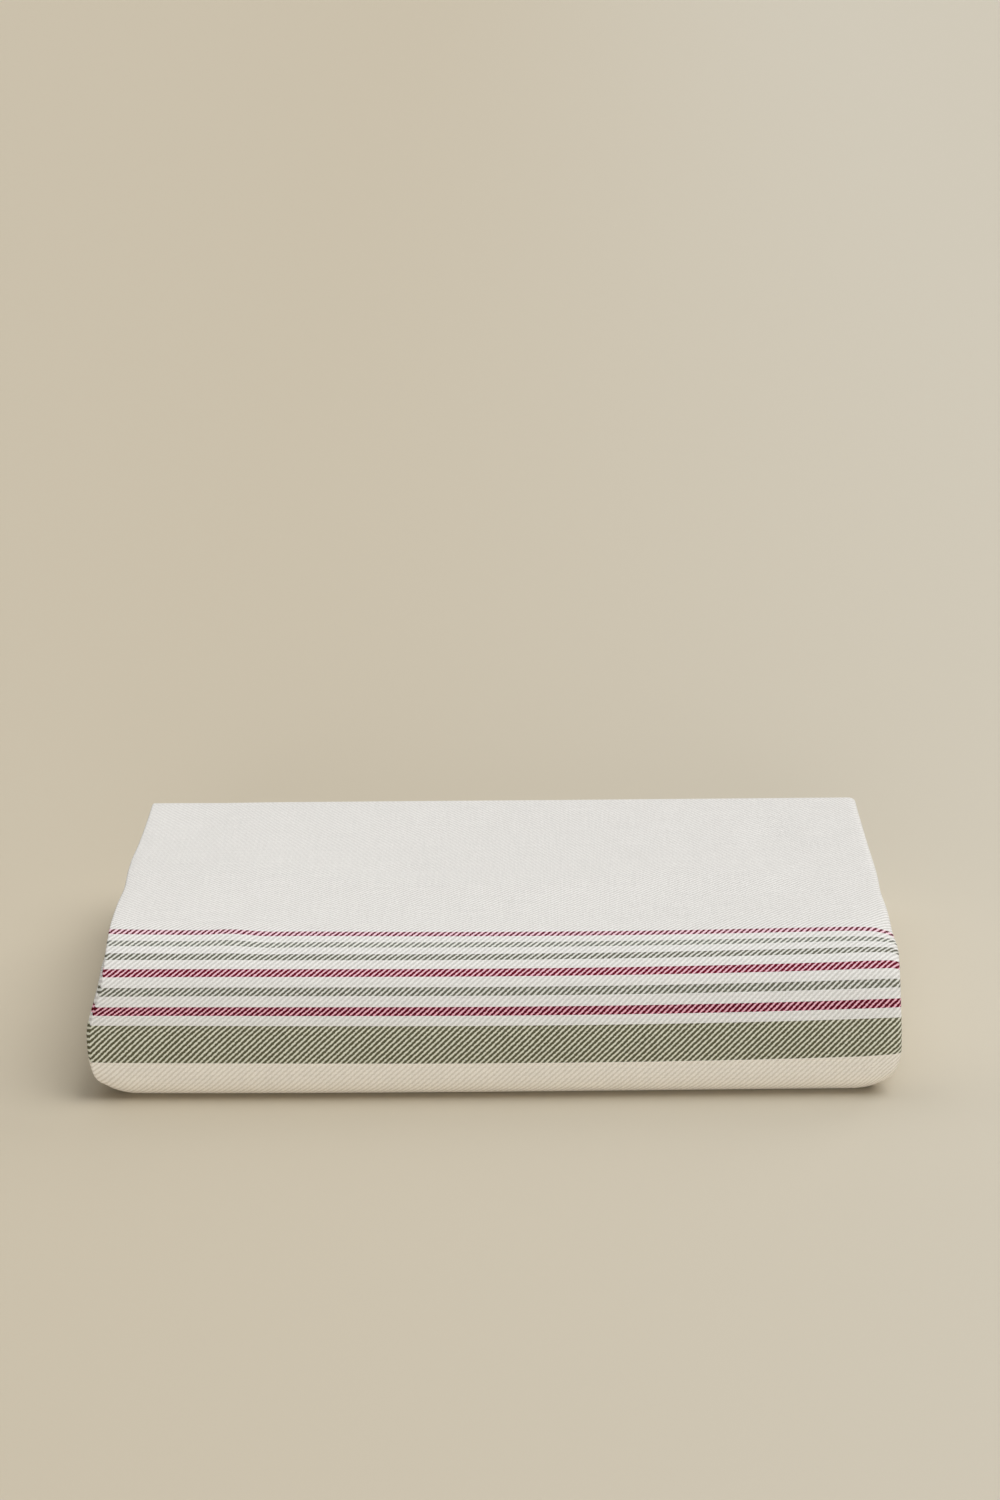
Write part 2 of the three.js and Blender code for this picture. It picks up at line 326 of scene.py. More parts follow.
def front_curve():
    """The outer face of the front, from the top down to the underside: y, z and slope in radians."""
    table_along = [row["along"] for row in FRONT_SLOPE]
    table_slope = [row["slope"] for row in FRONT_SLOPE]
    step = FRONT_CURVE_STEP
    along = np.arange(-FRONT_SMOOTHING, table_along[-1] + FRONT_SMOOTHING + step, step)
    slope = np.interp(along, table_along, table_slope)
    window = np.hanning(int(FRONT_SMOOTHING / step) | 1)
    padded = np.pad(slope, len(window) // 2, mode="edge")
    slope = np.radians(np.convolve(padded, window / window.sum(), mode="valid"))
    y = -np.cumsum(np.cos(slope)) * step
    z = -np.cumsum(np.sin(slope)) * step
    scale = PAD_HEIGHT / (z[0] - z[-1])
    y = (y - y.min()) * scale + FRONT_Y
    z = (z - z[0]) * scale + PAD_HEIGHT
    count = round(len(along) * step * scale / FRONT_STEP)
    picks = np.linspace(0, len(along) - 1, count + 1).round().astype(int)
    return y[picks], z[picks], slope[picks]


def front_middle():
    """The middle of the strip round the front: its outer face moved in by half the strip."""
    y, z, slope = front_curve()
    angle = np.pi + slope
    out_y, out_z = outward(angle)
    return y - HALF_STRIP * out_y, z - HALF_STRIP * out_z, angle


def fold_reach(front_y, front_z, height):
    """The foremost place where an inner fold at this height stays clear of the strip round the front."""
    clear = FOLD_RADIUS + 2 * HALF_STRIP + LAYER_GAP
    y = FRONT_Y + clear
    while np.hypot(front_y - y, front_z - height).min() < clear:
        y += FOLD_SEARCH_STEP
    return y


def layer_folds(front_y, front_z):
    """Centre of the fold at each inner layer's far end, midway between that layer and the next, and
    whether it is at the front."""
    folds = []
    for index, layer in enumerate(INNER_LAYERS):
        height = layer_height(index + 1.5)
        at_front = index % 2 == 1
        if at_front:
            y = fold_reach(front_y, front_z, height) + layer["fold_inset"]
        else:
            y = BACK_Y - FOLD_RADIUS - HALF_STRIP - layer["fold_inset"]
        folds.append((y, height, at_front))
    return folds


def straight_rows(start, end, height, angle, aside, step):
    """A straight stretch of the strip's way, with a row at either end."""
    count = max(2, round(abs(end - start) / step))
    return [(y, height, angle, aside) for y in np.linspace(start, end, count + 1)]


def fold_rows(centre_y, centre_z, at_front, aside_from, aside_to):
    """Half a turn of the strip's way between two layers, without its two ends."""
    side = -1 if at_front else 1
    rows = []
    for share in np.arange(1, LAYER_FOLD_STEPS) / LAYER_FOLD_STEPS:
        angle = np.pi * (1 - share) if at_front else np.pi * share
        out_y, out_z = outward(angle)
        y = centre_y + side * FOLD_RADIUS * out_y
        z = centre_z + side * FOLD_RADIUS * out_z
        rows.append((y, z, angle, aside_from + (aside_to - aside_from) * share))
    return rows


def strip_rows():
    """Each step of the strip's way, from the inner end of the cloth to the end underneath: y, z, angle
    and how far it lies sideways."""
    front_y, front_z, front_angle = front_middle()
    folds = layer_folds(front_y, front_z)
    asides = [layer["aside"] for layer in INNER_LAYERS] + [0]
    rows = []
    for index, (y, z, at_front) in enumerate(folds):
        if index > 0:
            start = folds[index - 1][0]
            angle = np.pi if at_front else 0
            step = LOW_LAYER_STEP if index < LOW_LAYERS else INNER_LAYER_STEP
            rows += straight_rows(start, y, layer_height(index + 1), angle, asides[index], step)
        rows += fold_rows(y, z, at_front, asides[index], asides[index + 1])
    rows += straight_rows(folds[-1][0], front_y[0], layer_height(LAYERS - 1), np.pi, 0, TOP_STEP)[:-1]
    rows += [(y, z, angle, 0) for y, z, angle in zip(front_y, front_z, front_angle)]
    hem = BACK_Y - OUTER_END_INSET - HEM_PLACES[::-1]
    rows += straight_rows(front_y[-1], hem[0], layer_height(0), 2 * np.pi, 0, UNDERSIDE_STEP)[1:-1]
    rows += [(y, layer_height(0), 2 * np.pi, 0) for y in hem]

    # The innermost layer takes what is left of the cloth's length
    way = np.array(rows)
    used = np.hypot(np.diff(way[:, 0]), np.diff(way[:, 1])).sum()
    first_fold = folds[0][0]
    hem = first_fold - (CLOTH_LENGTH - used) + HEM_PLACES
    inner = [(y, layer_height(1), 0, asides[0]) for y in hem]
    inner += straight_rows(hem[-1], first_fold, layer_height(1), 0, asides[0], LOW_LAYER_STEP)[1:]
    return np.array(inner + rows)


def round_corner(x, z, share):
    """Rounds off the lower corners near the front, from a square corner to a quarter circle."""
    radius = np.where(x < 0, CORNER_RADIUS_LEFT, CORNER_RADIUS_RIGHT)
    across = np.maximum((np.abs(x) - (HALF_WIDTH - radius)) / radius, 0)
    down = np.maximum((radius - z) / radius, 0)
    inward = across * (1 - np.sqrt(1 - np.minimum(down, 1) ** 2 / 2)) * radius
    upward = down * (1 - np.sqrt(1 - np.minimum(across, 1) ** 2 / 2)) * radius
    return x - np.sign(x) * inward * share, z + upward * share


def front_to_back(at_front, at_back, depth):
    """A value that changes evenly from the front to the back."""
    return at_front + (at_back - at_front) * np.clip(depth, 0, 1)


def sum_of_waves(rows, turned=0, **places):
    """The rows' waves added up, at these places in the directions that the rows name."""
    total = 0
    for row in rows:
        turn = row["phase"] + turned
        for direction, place in places.items():
            turn = turn + 2 * np.pi * place / row["long_" + direction]
        total = total + row["size"] * np.sin(turn)
    return total


def top_unevenness(x, y, height):
    """How far the soft rises and troughs lift the top, fading out in the layers below it."""
    lift = 0
    for rise in TOP_RISES:
        turn = math.radians(rise["turn"])
        along = (x - rise["x"]) * math.cos(turn) + (y - rise["y"]) * math.sin(turn)
        beside = (y - rise["y"]) * math.cos(turn) - (x - rise["x"]) * math.sin(turn)
        lift = lift + rise["height"] * np.exp(-((along / rise["long"]) ** 2) - (beside / rise["wide"]) ** 2)
    return lift * smooth(height, RISES_FROM, 1)


def side_unevenness(side, y, height):
    """How far the dents and bulges move the sides to the right."""
    shift = 0
    for dent in SIDE_DENTS:
        along = (y - dent["y"]) / dent["long"]
        up = (height - dent["high"]) / dent["tall"]
        at_side = smooth(side * dent["side"], DENTS_FROM, 1)
        shift = shift + dent["side"] * dent["out"] * np.exp(-(along**2) - up**2) * at_side
    return shift


def settle(x, y, z, corners):
    """Moves points of the evenly folded pad to where they lie in the settled one."""
    side = x / HALF_WIDTH
    depth = (y - FRONT_Y) / PAD_DEPTH
    height = z / PAD_HEIGHT

    def fade(name):
        return smooth(depth, *DEPTH_FADES[name])

    # The top sinks, tilts and drops, and the front is squeezed down
    squeeze = FRONT_SQUEEZE * (1 - fade("squeeze"))
    sag = TOP_SAG * (1 - side**2) * (1 - fade("sag"))
    sag = sag + TOP_TILT * side * fade("tilt sets in") * (1 - fade("tilt fades"))
    at_right = smooth(side, RIGHT_DROP_FROM, 1) * (1 - fade("front"))
    drop = BACK_DROP * fade("back drop") + RIGHT_DROP * at_right

    # The layers inside lie loosely
    inside = np.sin(np.pi * np.clip(height, 0, 1)) * fade("loose layers")
    turn = LAYER_WAVE["side"] * side + LAYER_WAVE["depth"] * depth + LAYER_WAVE["height"] * height
    lift = LAYER_WAVE["size"] * np.sin(np.pi * height) * np.sin(turn)
    lift = lift + inside * sum_of_waves(INSIDE_WAVES, x=x, y=y, z=z)
    aside = np.abs(side) ** 3 * inside * sum_of_waves(SIDE_WAVES, turned=np.sign(x), y=y, z=z)
    back = fade("loose back") * inside * sum_of_waves(BACK_WAVES, x=x, z=z)

    # The sides lean in, and the front bows out
    left_inset = front_to_back(LEFT_INSET_FRONT, LEFT_INSET_BACK, depth)
    right_inset = front_to_back(RIGHT_INSET_FRONT, RIGHT_INSET_BACK, depth)
    lean = smooth(height, INSET_FROM, 1)
    inset = np.where(side < 0, left_inset * lean, RIGHT_TUCK + right_inset * lean)
    forward = (FRONT_BOW + FRONT_SWING * side) * (1 - side**2)

    rise = top_unevenness(x, y, height)
    dent = side_unevenness(side, y, height)
    x = x - side * inset + aside + dent
    y = y - forward * (1 - fade("front")) + back
    z = z + lift + rise - height * (sag + drop) - z * squeeze
    if corners:
        x, z = round_corner(x, z, 1 - CORNER_SQUARING * fade("round corners"))
    return x + CENTRING_X, y + CENTRING_Y, z


def lay(columns, rows, thickness, face, corners=True):
    """Places of the cloth's outer face (1), its middle (0) or its inner face (-1), for every row and
    column."""
    points, normals = columns
    y, z, angle, aside = (rows[:, k][:, None] for k in range(4))
    shift = face * thickness / 2
    across = points[:, 0] + shift * normals[:, 0]
    height = points[:, 1] + shift * normals[:, 1]
    out_y, out_z = outward(angle)
    slope = np.degrees(angle) - 180
    round_front = smooth(slope, PEEK_FROM, PEEK_FROM + PEEK_BLEND)
    round_front = round_front * (1 - smooth(slope, PEEK_UNTIL, PEEK_UNTIL + PEEK_BLEND))
    lower_left = (points[:, 1] < -PLY_PITCH / 4) * smooth(-points[:, 0] / HALF_WIDTH, *PEEK_SIDE)
    aside = aside - LEFT_PEEK * lower_left * round_front
    places = settle(across + aside, y + height * out_y, z + height * out_z, corners)
    return np.stack(places, axis=-1)


def distances(places, axis):
    """Distance along an axis of a grid of places, from its first one."""
    steps = np.linalg.norm(np.diff(places, axis=axis), axis=-1)
    zero = np.zeros_like(np.take(steps, [0], axis=axis))
    return np.cumsum(np.concatenate([zero, steps], axis=axis), axis=axis)


def cloth_along(middle, columns):
    """Distance along the cloth from the hem end that lies underneath. Round the right fold the weft stays
    level with the top ply, and inside it shears to where the lower plies bring it."""
    along = distances(middle[::-1], 0)[::-1]
    x, height = columns[0].T
    top_ply = height > PLY_HEIGHTS[0] - NEARLY
    fold_edge = np.where(top_ply)[0][np.argmax(x[top_ply])]
    fold = (height > 0) & (x > x[fold_edge] - NEARLY) & ~top_ply
    lower = height < -PLY_PITCH - NEARLY
    level = along[:, fold_edge : fold_edge + 1]
    share = np.where(lower, 1 - smooth(x, x[fold_edge] - SHEAR_REACH, x[fold_edge]), 1.0)
    share = np.where(fold | (lower & (x > x[fold_edge])), 0.0, share)
    along = level + (along - level) * share
    side = x / HALF_WIDTH
    skew = (BORDER_TURN + BORDER_SWING * (1 - side**2)) * side
    shift = np.where(height < 0, LOWER_PLIES_AHEAD * share, 0.0)
    return along + (shift - skew) * smooth(along, *SKEW_SETS_IN)


def cloth_sheet():
    """Places of the cloth's outer and inner face, and the distances across and along the flat cloth."""
    columns = strip_columns()
    rows = strip_rows()
    # The distances are measured before the corners are rounded, because the cloth is a little full there
    middle = lay(columns, rows, np.zeros((len(rows), len(columns[0]))), 0, corners=False)
    flat_across = distances(columns[0][None], 1)[0]
    across = np.broadcast_to(flat_across, middle.shape[:2])
    along = cloth_along(middle, columns)
    from_side = np.minimum(across, across[:, -1:] - across)
    from_end = np.minimum(along, along[:1] - along)
    thickness = cloth_thickness(np.minimum(from_side, from_end))
    outer = lay(columns, rows, thickness, 1)
    inner = lay(columns, rows, thickness, -1)
    return outer, inner, across, along


def grid_faces(row_count, column_count):
    """Corner numbers of the quads of the outer face, the inner face and the rim that joins them."""
    size = row_count * column_count
    number = np.arange(size).reshape(row_count, column_count)
    corners = [number[:-1, :-1], number[:-1, 1:], number[1:, 1:], number[1:, :-1]]
    outer = np.stack(corners, -1).reshape(-1, 4)
    inner = outer[:, ::-1] + size

    def rim(line):
        return np.stack([line[:-1], line[:-1] + size, line[1:] + size, line[1:]], -1)

    rims = [rim(number[0]), rim(number[-1])[:, ::-1], rim(number[:, 0])[:, ::-1], rim(number[:, -1])]
    return np.vstack([outer, inner, *rims])


def spread_over(start, end, weights):
    """Places from start to end, each step as wide as its share of the weights."""
    steps = np.concatenate([[0.0], np.cumsum(weights)])
    return start + (end - start) * steps / steps[-1]


def column_weights():
    """How much of the bake map's width each step across takes: little for what lies between plies."""
    x, height = strip_columns()[0].T
    widths = np.hypot(np.diff(x), np.diff(height))
    top_ply = np.minimum(height[:-1], height[1:]) > PLY_HEIGHTS[0] - NEARLY
    folds = np.maximum(np.abs(x[:-1]), np.abs(x[1:])) > HALF_WIDTH - RIGHT_FOLD_REACH
    shown = np.maximum(widths, BAKE_LEAST * 2)
    hidden = np.maximum(widths * BAKE_BETWEEN_PLIES, BAKE_LEAST)
    return np.where(top_ply | folds, shown, hidden)


def row_weights():
    """How much of the bake map's height each step along takes: little for what lies between layers."""
    y, z, angle, _ = strip_rows().T
    lengths = np.hypot(np.diff(y), np.diff(z))
    angle = (angle[:-1] + angle[1:]) / 2
    flat = np.minimum(np.abs(angle), np.abs(angle - np.pi)) < NEARLY
    at_top = z[:-1] >= layer_height(LAYERS - 1) - NEARLY
    before_top = np.arange(len(lengths)) < np.argmax(at_top)
    share = np.select(
        [before_top & flat, before_top, flat, angle < 2 * np.pi - NEARLY],
        [BAKE_SHARES["inside"], BAKE_SHARES["inner folds"], BAKE_SHARES["top"], BAKE_SHARES["front"]],
        BAKE_SHARES["underside"],
    )
    return np.maximum(lengths * share, BAKE_LEAST)


def bake_map(faces, row_count, column_count):
    """A place of its own in the bake map for every corner of every face: the outer face in a large block,
    the inner face in a low one above it, and each of the four rims in a narrow strip."""
    size = row_count * column_count
    row, column = np.divmod(faces % size, column_count)
    is_inner = faces >= size
    across = spread_over(BAKE_MARGIN, 1 - BAKE_MARGIN, column_weights())[column]
    along = spread_over(*BAKE_OUTER_FACE, row_weights())[row]
    even_across = np.linspace(1 - BAKE_MARGIN, BAKE_MARGIN, column_count)[column]
    even_along = np.linspace(BAKE_MARGIN, 1 - BAKE_MARGIN, row_count)[row]
    inner_along = np.linspace(*BAKE_INNER_FACE, row_count)[row]
    blocks = [(across, along), (even_across, inner_along)]
    for number, along_rim in enumerate([even_across, even_across, even_along, even_along]):
        blocks.append((along_rim, BAKE_RIMS_FROM + BAKE_RIM_PITCH * number + BAKE_RIM_WIDTH * is_inner))
    quads = (row_count - 1) * (column_count - 1)
    counts = [quads, quads, column_count - 1, column_count - 1, row_count - 1, row_count - 1]
    block = np.repeat(np.arange(len(counts)), counts)
    places = np.array([np.stack(places, -1) for places in blocks])
    return places[block, np.arange(len(faces))]


def make_cloth():
    """The folded cloth, with a map of its flat places and one for baking."""
    outer, inner, across, along = cloth_sheet()
    row_count, column_count = across.shape
    places = np.vstack([outer.reshape(-1, 3), inner.reshape(-1, 3)]) * MM
    faces = grid_faces(row_count, column_count)
    mesh = bpy.data.meshes.new("folded_cloth")
    mesh.from_pydata(places.tolist(), [], faces.tolist())
    mesh.validate()
    mesh.shade_smooth()
    corner_vertices = np.zeros(len(mesh.loops), dtype=np.int32)
    mesh.loops.foreach_get("vertex_index", corner_vertices)
    flat_places = np.stack([across.ravel(), along.ravel()], -1) * MM
    flat_places = np.vstack([flat_places, flat_places])[corner_vertices]
    mesh.uv_layers.new(name="cloth").data.foreach_set("uv", flat_places.ravel())
    bake_places = bake_map(faces, row_count, column_count)
    mesh.uv_layers.new(name="OFBake").data.foreach_set("uv", bake_places.ravel())
    mesh.materials.append(cloth_material(across.max()))
    cloth = bpy.data.objects.new("folded_cloth", mesh)
    bpy.context.collection.objects.link(cloth)
    return cloth


# The twill: its repeat across and along the cloth in millimetres, with four threads to a repeat each way,
# how far the threads bunch, and how softly warp and weft take turns
TWILL_ACROSS = 2.8
TWILL_ALONG = 2.6
THREADS_A_REPEAT = 4
THREAD_BUNCHING = 0.11
TWILL_SOFTNESS = 0.4

# Over the shoulder the picks lie ever wider apart, from this place along the cloth to that one
SPREAD_FROM = 293
SPREAD_UNTIL = 323
SPREAD = 0.42

# How dark the painted shade between threads is, how far each part of the weave and the seams stand out of
# the cloth, and what that comes to in millimetres
PAINTED_GAP_SHADE = 0.9
TWILL_RELIEF = 0.6
THREAD_RELIEF = 0.4
STITCH_RELIEF = 3.0
RELIEF_HEIGHT = 0.12
RELIEF_STRENGTH = 0.5
CLOTH_ROUGHNESS = 0.9
CLOTH_GLOSS = 0.15

# Soft unevenness, of so many patches a metre across and along, and how far it reaches both ways: of the
# share that the weft takes, and of the yarns' brightness. The noise's own values lie in the last range.
WEFT_UNEVENNESS = [
    {"across": 600, "along": 1000, "reach": 0.34},
    {"across": 55, "along": 45, "reach": 0.04},
]
YARN_UNEVENNESS = [
    {"across": 40, "along": 1500, "reach": 0.025},
    {"across": 1300, "along": 30, "reach": 0.015},
]
NOISE_RANGE = (0.25, 0.75)

# The woven border, along the cloth from the hem end to each stripe's nearer edge. Cover is the share
# of the face that the weft takes. The tints are the weft, and the warp as it shows between the weft.
BAND_START = 250.3
BAND_WIDTH = 17.4
BAND_GAP = 4.6
FIRST_STRIPE = BAND_START + BAND_WIDTH + BAND_GAP
STRIPE_WIDTH = 4.1
STRIPE_PITCH = 9.2
# In the white and the natural parts the weft is darker than the warp: partly the yarns' own tints, partly
# painted shade of the twill lines.
WHITE = {"weft": (0.745, 0.72, 0.68), "warp": (0.96, 0.94, 0.90), "cover": 0.5}
NATURAL = {"weft": (0.80, 0.73, 0.62), "warp": (0.99, 0.93, 0.83), "cover": 0.44}
GREEN_BAND = {"weft": (0.125, 0.118, 0.066), "warp": (0.81, 0.80, 0.66), "cover": 0.57}
GREEN = {"weft": (0.145, 0.142, 0.105), "warp": (0.82, 0.81, 0.745), "cover": 0.53}
UPPER_GREEN_PAINTED_LIGHTER = {"weft": (0.190, 0.195, 0.160), "warp": (0.88, 0.87, 0.80), "cover": 0.50}
RED = {"weft": (0.124, 0.003, 0.015), "warp": (0.98, 0.55, 0.64), "cover": 0.59}
MIDDLE_RED_PAINTED_LIGHTER = {"weft": (0.158, 0.003, 0.018), "warp": (0.99, 0.60, 0.69), "cover": 0.585}
UPPER_RED_PAINTED_LIGHTER = {"weft": (0.135, 0.010, 0.026), "warp": (0.99, 0.70, 0.77), "cover": 0.49}
THREAD_TINT = (0.86, 0.83, 0.76)
# The middle and upper stripes take lighter copies of the red and the green: painted light where the upper
# face catches more light, and partly a softening of their fine lines.
STRIPES = [RED, GREEN, MIDDLE_RED_PAINTED_LIGHTER, GREEN, UPPER_GREEN_PAINTED_LIGHTER, UPPER_RED_PAINTED_LIGHTER]


class Nodes:
    """A new material, and short ways to add and join its nodes."""

    def __init__(self, name):
        self.material = bpy.data.materials.new(name)
        self.material.use_nodes = True
        self.tree = self.material.node_tree
        self.shader = self.tree.nodes["Principled BSDF"]

    def add(self, kind, **settings):
        node = self.tree.nodes.new(kind)
        for name, value in settings.items():
            setattr(node, name, value)
        return node

    def put(self, socket, value):
        if isinstance(value, bpy.types.NodeSocket):
            self.tree.links.new(value, socket)
        else:
            socket.default_value = value

    def split(self, place):
        """The x, y and z of a place."""
        node = self.add("ShaderNodeSeparateXYZ")
        self.put(node.inputs[0], place)
        return node.outputs

    def maths(self, operation, *values, clamp=False):
        node = self.add("ShaderNodeMath", operation=operation, use_clamp=clamp)
        for socket, value in zip(node.inputs, values):
            self.put(socket, value)
        return node.outputs[0]

    def mix(self, share, first, second):
        """Two tints mixed, the second one by this share."""
        node = self.add("ShaderNodeMix", data_type="RGBA")
        self.put(node.inputs["Factor"], share)
        self.put(node.inputs["A"], first)
        self.put(node.inputs["B"], second)
        return node.outputs["Result"]

    def ramp(self, value, low, high, to_low=0.0, to_high=1.0):
        """A soft step of the value, from one number at low to another at high."""
        node = self.add("ShaderNodeMapRange", interpolation_type="SMOOTHSTEP")
        numbers = {"From Min": low, "From Max": high, "To Min": to_low, "To Max": to_high}
        for name, number in numbers.items():
            node.inputs[name].default_value = number
        self.put(node.inputs["Value"], value)
        return node.outputs["Result"]


def opaque(tint):
    return (*tint, 1.0)


def unevenness(n, place, row, middle):
    """Soft unevenness round a middle value."""
    stretched = n.add("ShaderNodeVectorMath", operation="MULTIPLY")
    n.put(stretched.inputs[0], place)
    stretched.inputs[1].default_value = (row["across"], row["along"], 1)
    cloud = n.add("ShaderNodeTexNoise", noise_dimensions="2D")
    cloud.inputs["Scale"].default_value = 1.0
    cloud.inputs["Detail"].default_value = 1.0
    n.put(cloud.inputs["Vector"], stretched.outputs[0])
    return n.ramp(cloud.outputs["Fac"], *NOISE_RANGE, middle - row["reach"], middle + row["reach"])


def seam(n, from_edge, travelled):
    """A hem's seam: short stitches with gaps between them, beside an edge."""
    beside = n.maths("ABSOLUTE", n.maths("SUBTRACT", from_edge, SEAM_PLACE * MM))
    line = n.ramp(beside, SEAM_WIDTH / 2 * MM, SEAM_WIDTH / 4 * MM)
    in_stitch = n.maths("PINGPONG", travelled, STITCH_PITCH / 2 * MM)
    return n.maths("MULTIPLY", line, n.ramp(in_stitch, STITCH_GAP / 4 * MM, STITCH_GAP / 2 * MM))


def threads(n, distance, repeat):
    """The count of threads up to a distance, each a little bunched so that the twill lines are beaded,
    and 1 in the middle of a thread to -1 between two."""
    count = n.maths("MULTIPLY", distance, THREADS_A_REPEAT / (repeat * MM))
    turn = n.maths("MULTIPLY", count, 2 * math.pi)
    bunched = n.maths("SUBTRACT", count, n.maths("MULTIPLY", n.maths("SINE", turn), THREAD_BUNCHING))
    return bunched, n.maths("COSINE", turn)


def without_spread(n, along):
    """The distance along the cloth, less what the picks' spread over the shoulder adds to it."""
    width = (SPREAD_UNTIL - SPREAD_FROM) * MM
    share = n.maths("DIVIDE", n.maths("SUBTRACT", along, SPREAD_FROM * MM), width, clamp=True)
    spread = n.maths("MULTIPLY", n.maths("MULTIPLY", share, share), SPREAD / 2 * width)
    return n.maths("SUBTRACT", along, spread)


def border(n, from_end):
    """The weft's tint, the warp's tint, and the level above which a twill line is weft, in each part."""
    parts = [(NATURAL, 0, BAND_START), (GREEN_BAND, BAND_START, BAND_WIDTH)]
    for number, tints in enumerate(STRIPES):
        parts.append((tints, FIRST_STRIPE + number * STRIPE_PITCH, STRIPE_WIDTH))
    weft = opaque(WHITE["weft"])
    warp = opaque(WHITE["warp"])
    level = math.cos(math.pi * WHITE["cover"])
    for tints, start, width in parts:
        beyond = n.maths("SUBTRACT", from_end, start * MM)
        begun = n.maths("GREATER_THAN", beyond, 0.0)
        inside = n.maths("MULTIPLY", begun, n.maths("LESS_THAN", beyond, width * MM))
        weft = n.mix(inside, weft, opaque(tints["weft"]))
        warp = n.mix(inside, warp, opaque(tints["warp"]))
        own_level = n.maths("MULTIPLY", inside, math.cos(math.pi * tints["cover"]))
        outside = n.maths("SUBTRACT", 1.0, inside)
        level = n.maths("ADD", own_level, n.maths("MULTIPLY", outside, level))
    return weft, warp, level


def cloth_material(full_width):
    """Twill with its border and its seams, from the place on the flat cloth."""
    n = Nodes("striped_twill")
    place = n.add("ShaderNodeUVMap", uv_map="cloth").outputs["UV"]
    across, along, _ = n.split(place)

    # The nearer edges of the cloth, so that both ends have the border and all four edges a seam
    from_end = n.maths("MINIMUM", along, n.maths("SUBTRACT", CLOTH_LENGTH * MM, along))
    from_side = n.maths("MINIMUM", across, n.maths("SUBTRACT", full_width * MM, across))
    stitches = n.maths("MAXIMUM", seam(n, from_end, across), seam(n, from_side, along))

    # The twill lines, and where the weft lies over the warp
    ends, on_ends = threads(n, across, TWILL_ACROSS)
    picks, on_picks = threads(n, without_spread(n, along), TWILL_ALONG)
    turns = n.maths("ADD", ends, picks)
    diagonal = n.maths("SINE", n.maths("MULTIPLY", turns, 2 * math.pi / THREADS_A_REPEAT))
    weft, warp, level = border(n, from_end)
    uneven = n.maths("ADD", *(unevenness(n, place, row, 0.0) for row in WEFT_UNEVENNESS))
    above = n.maths("ADD", n.maths("SUBTRACT", diagonal, level), uneven)
    weft_up = n.ramp(above, -TWILL_SOFTNESS, TWILL_SOFTNESS)
    warp_up = n.maths("SUBTRACT", 1.0, weft_up)

    # Painted shade: threads are darker towards each other and where one goes under the other
    ridge = n.maths("ADD", n.maths("MULTIPLY", on_picks, weft_up), n.maths("MULTIPLY", on_ends, warp_up))
    painted_gap_shade = n.ramp(ridge, -1.0, 1.0, 1.0, PAINTED_GAP_SHADE)
    yarns = n.maths("MULTIPLY", *(unevenness(n, place, row, 1.0) for row in YARN_UNEVENNESS))
    colour = n.add("ShaderNodeVectorMath", operation="SCALE")
    n.put(colour.inputs[0], n.mix(stitches, n.mix(weft_up, warp, weft), opaque(THREAD_TINT)))
    n.put(colour.inputs["Scale"], n.maths("MULTIPLY", painted_gap_shade, yarns))
    n.put(n.shader.inputs["Base Color"], colour.outputs[0])
    n.shader.inputs["Roughness"].default_value = CLOTH_ROUGHNESS
    n.shader.inputs["Specular IOR Level"].default_value = CLOTH_GLOSS

    # Relief of the twill lines, the threads and the stitches
    lines = n.maths("MULTIPLY", diagonal, TWILL_RELIEF)
    height = n.maths("SUBTRACT", lines, n.maths("MULTIPLY", ridge, THREAD_RELIEF))
    height = n.maths("ADD", height, n.maths("MULTIPLY", stitches, STITCH_RELIEF))
    bump = n.add("ShaderNodeBump")
    bump.inputs["Distance"].default_value = RELIEF_HEIGHT * MM
    bump.inputs["Strength"].default_value = RELIEF_STRENGTH
    n.put(bump.inputs["Height"], height)
    n.put(n.shader.inputs["Normal"], bump.outputs["Normal"])
    return n.material


# The ground, in metres: flat, and then rising in a curve up to so many degrees. Its tints are those at the
# left and at the right, painted light: darker and warmer at the left, lighter at the right where more light
# falls. It changes from one to the other between two places.
SWEEP_HALF_WIDTH = 8.0
SWEEP_FRONT = -9.0
SWEEP_FLAT_UNTIL = 8.0
SWEEP_RADIUS = 8.0
SWEEP_STEEPEST = 40
SWEEP_CURVE_STEPS = 24
SWEEP_LEFT_PAINTED_DARKER = (0.629, 0.556, 0.429)
SWEEP_RIGHT_PAINTED_LIGHTER = (0.674, 0.620, 0.510)
SWEEP_PAINTED_LIGHT_RAMP = (-0.25, 0.45)
SWEEP_ROUGHNESS = 0.9
SWEEP_GLOSS = 0.1

# The camera: its place in millimetres, its angles in degrees and its lens
CAMERA_PLACE = (43.14, -1632.23, 697.1)
CAMERA_YAW = 1.458
CAMERA_PITCH = 19.208
CAMERA_ROLL = -0.981
CAMERA_LENS = 86.4
CAMERA_SENSOR = 36.0

# The lights: where each comes from, as a turn from the front to the right and a rise above the ground in
# degrees, how wide it is, and its strength. The room adds a little from all round.
LIGHTS = [
    {"turn": 0, "rise": 4, "wide": 30, "strength": 1.76},
    {"turn": 90, "rise": 60, "wide": 50, "strength": 1.33},
    {"turn": 70, "rise": 75, "wide": 50, "strength": 0.58},
    {"turn": 180, "rise": 62, "wide": 50, "strength": 0.52},
    {"turn": 180, "rise": 25, "wide": 30, "strength": 0.14},
    {"turn": 140, "rise": 28, "wide": 30, "strength": 0.47},
    {"turn": -135, "rise": 50, "wide": 50, "strength": 0.44},
]
ROOM_TINT = (1.0, 0.97, 0.92)
ROOM_STRENGTH = 0.005


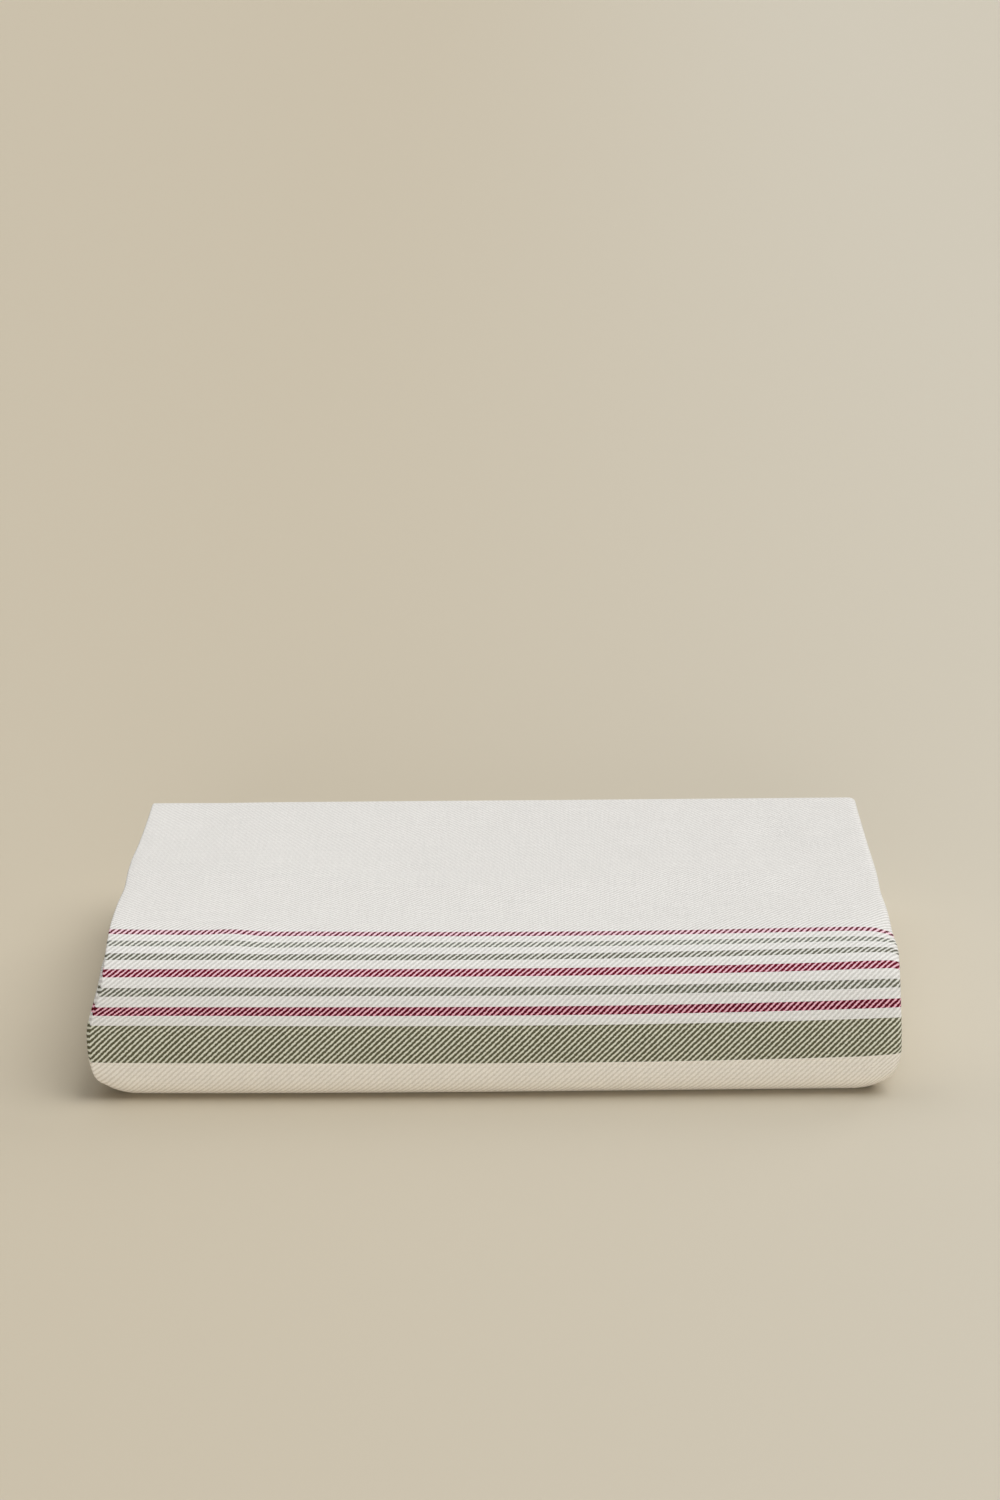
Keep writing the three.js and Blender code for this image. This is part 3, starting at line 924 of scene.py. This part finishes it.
def make_sweep():
    """Floor and backdrop in one piece: flat, and then rising in a very wide curve."""
    profile = [(SWEEP_FRONT, 0.0)]
    for slope in np.radians(np.linspace(0, SWEEP_STEEPEST, SWEEP_CURVE_STEPS + 1)):
        y = SWEEP_FLAT_UNTIL + SWEEP_RADIUS * math.sin(slope)
        profile.append((y, SWEEP_RADIUS * (1 - math.cos(slope))))
    places = [(x, y, z) for y, z in profile for x in (-SWEEP_HALF_WIDTH, SWEEP_HALF_WIDTH)]
    faces = [(2 * k, 2 * k + 1, 2 * k + 3, 2 * k + 2) for k in range(len(profile) - 1)]
    mesh = bpy.data.meshes.new("sweep")
    mesh.from_pydata(places, [], faces)
    mesh.shade_smooth()
    mesh.materials.append(sweep_material())
    sweep = bpy.data.objects.new("sweep", mesh)
    bpy.context.collection.objects.link(sweep)


def sweep_material():
    n = Nodes("pale_sweep")
    x, _, _ = n.split(n.add("ShaderNodeTexCoord").outputs["Object"])
    # Painted light: the ground lightens towards the right
    painted_light_to_right = n.ramp(x, *SWEEP_PAINTED_LIGHT_RAMP)
    n.put(n.shader.inputs["Base Color"], n.mix(painted_light_to_right, opaque(SWEEP_LEFT_PAINTED_DARKER), opaque(SWEEP_RIGHT_PAINTED_LIGHTER)))
    n.shader.inputs["Roughness"].default_value = SWEEP_ROUGHNESS
    n.shader.inputs["Specular IOR Level"].default_value = SWEEP_GLOSS
    return n.material


def make_camera():
    data = bpy.data.cameras.new("camera")
    data.lens = CAMERA_LENS
    data.sensor_width = CAMERA_SENSOR
    data.dof.use_dof = False
    camera = bpy.data.objects.new("camera", data)
    yaw, pitch, roll = (math.radians(angle) for angle in (CAMERA_YAW, CAMERA_PITCH, CAMERA_ROLL))
    forward = Vector((-math.sin(yaw) * math.cos(pitch), math.cos(yaw) * math.cos(pitch), -math.sin(pitch)))
    level = Vector((math.cos(yaw), math.sin(yaw), 0))
    up = level.cross(forward)
    right = level * math.cos(roll) + up * math.sin(roll)
    up = up * math.cos(roll) - level * math.sin(roll)
    turn = Matrix((right, up, -forward)).transposed().to_4x4()
    camera.matrix_world = Matrix.Translation(Vector(CAMERA_PLACE) * MM) @ turn
    bpy.context.collection.objects.link(camera)
    bpy.context.scene.camera = camera


def make_lights():
    """A bright room: wide soft lights from all sides, the strongest low at the front."""
    for number, light in enumerate(LIGHTS):
        data = bpy.data.lights.new(f"soft_light_{number}", "SUN")
        data.energy = light["strength"]
        data.angle = math.radians(light["wide"])
        turn, rise = math.radians(light["turn"]), math.radians(light["rise"])
        place = Vector((math.sin(turn) * math.cos(rise), -math.cos(turn) * math.cos(rise), math.sin(rise)))
        lamp = bpy.data.objects.new(data.name, data)
        lamp.rotation_euler = place.to_track_quat("Z", "Y").to_euler()
        bpy.context.collection.objects.link(lamp)


def make_room():
    """A faint even light from all round, and colours shown as they are."""
    world = bpy.data.worlds.new("room")
    world.use_nodes = True
    background = world.node_tree.nodes["Background"]
    background.inputs["Color"].default_value = opaque(ROOM_TINT)
    background.inputs["Strength"].default_value = ROOM_STRENGTH
    bpy.context.scene.world = world
    bpy.context.scene.view_settings.view_transform = "Standard"


cloth = make_cloth()
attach(cloth, "root")
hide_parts("tablecloth")

make_sweep()
make_camera()
make_lights()
make_room()
